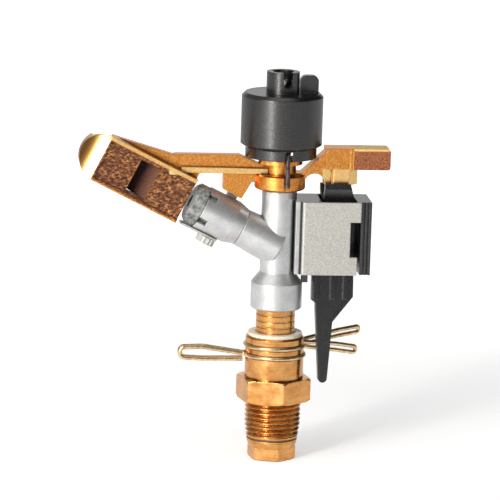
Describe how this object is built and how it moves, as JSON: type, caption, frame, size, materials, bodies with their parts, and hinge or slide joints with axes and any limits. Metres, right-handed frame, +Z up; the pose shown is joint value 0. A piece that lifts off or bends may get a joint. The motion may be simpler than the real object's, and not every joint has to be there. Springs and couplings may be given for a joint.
{
  "type": "impulse sprinkler",
  "caption": "Part-circle impulse sprinkler: brass bearing nipple, angled nozzle, sprung swing arm with spoon, black spring cap, trip mechanism and wire stop clips.",
  "frame": {"origin": "on the riser's axis at the lower shoulder of the large hexagon, the top of the male thread", "axes": "+Z up the riser's axis, -X the side of the nozzle and spoon, +X the side of the trip mechanism, -Y the front with the light alloy plate"},
  "size_m": [0.1161, 0.0369, 0.1472],
  "materials": {
    "machined_brass": "turned, bright",
    "cast_brass": "rough sand casting, edges bright",
    "bronze_wire": "drawn wire",
    "cast_alloy": "fine cast skin, satin",
    "nozzle_grey": "moulded, satin",
    "plate_alloy": "fine blasted sheet",
    "black_plastic": "moulded, satin",
    "white_nylon": "moulded",
    "clear_grey_plastic": "moulded, ribbed",
    "seal_rubber": "moulded",
    "spring_steel": "ground, bright",
    "dark_spring_steel": "oil blackened"
  },
  "bodies": {
    "base": {"bearing_nipple": "machined_brass", "dust_washer": "white_nylon", "pressure_spring": "spring_steel", "thrust_washer_upper": "machined_brass", "thrust_seal_washer": "seal_rubber"},
    "head": {"bearing_tube": "machined_brass", "spring_sleeve": "machined_brass", "thrust_washer_lower": "machined_brass", "body_casting": "cast_alloy", "nozzle_union": "cast_alloy", "nozzle_seal": "seal_rubber", "nozzle_tip": "nozzle_grey", "deflector_strip": "plate_alloy", "deflector_screw": "clear_grey_plastic", "pivot_pin": "spring_steel", "pivot_washer": "white_nylon", "cap_retainer": "spring_steel", "mechanism_housing": "black_plastic", "front_plate": "plate_alloy", "lever_pin": "spring_steel", "rocker_pin": "spring_steel", "housing_screws": "spring_steel", "toggle_spring": "spring_steel"},
    "arm": {"swing_arm": "cast_brass", "arm_bushing": "white_nylon", "arm_spring": "dark_spring_steel"},
    "cap": {"spring_cap": "black_plastic"},
    "trip_lever": {"trip_lever": "black_plastic"},
    "rocker": {"rocker": "black_plastic"},
    "clip_left": {"stop_clip_left": "bronze_wire"},
    "clip_right": {"stop_clip_right": "bronze_wire"}
  },
  "joints": [
    {"name": "head_turn", "type": "hinge", "parent": "base", "child": "head", "pos_m": [0, 0, 0], "axis": [0, 0, 1], "range_deg": [-145, 2]},
    {"name": "arm_swing", "type": "hinge", "parent": "head", "child": "arm", "pos_m": [0, 0, 0.086], "axis": [0, 0, 1], "range_deg": [0, 120], "stiffness_Nm_per_rad": 0.03, "springref_deg": -45.84, "deforming": ["arm_spring"]},
    {"name": "cap_turn", "type": "hinge", "parent": "head", "child": "cap", "pos_m": [0, 0, 0.105], "axis": [0, 0, 1], "range_deg": [0, 90]},
    {"name": "lever_trip", "type": "hinge", "parent": "head", "child": "trip_lever", "pos_m": [0, 0, 0.0527], "axis": [1, 0, 0], "range_deg": [0, 12], "deforming": ["toggle_spring"]},
    {"name": "rocker_tip", "type": "hinge", "parent": "head", "child": "rocker", "pos_m": [0, 0, 0.0712], "axis": [1, 0, 0], "range_deg": [0, 16]},
    {"name": "left_clip_turn", "type": "hinge", "parent": "base", "child": "clip_left", "pos_m": [0, 0, 0.0174], "axis": [0, 0, 1], "range_deg": [-60, 0]},
    {"name": "right_clip_turn", "type": "hinge", "parent": "base", "child": "clip_right", "pos_m": [0, 0, 0.021], "axis": [0, 0, 1], "range_deg": [0, 60]}
  ],
  "couplings": [
    {"joint": "rocker_tip", "follows": "lever_trip", "ratio": 1.3333}
  ]
}
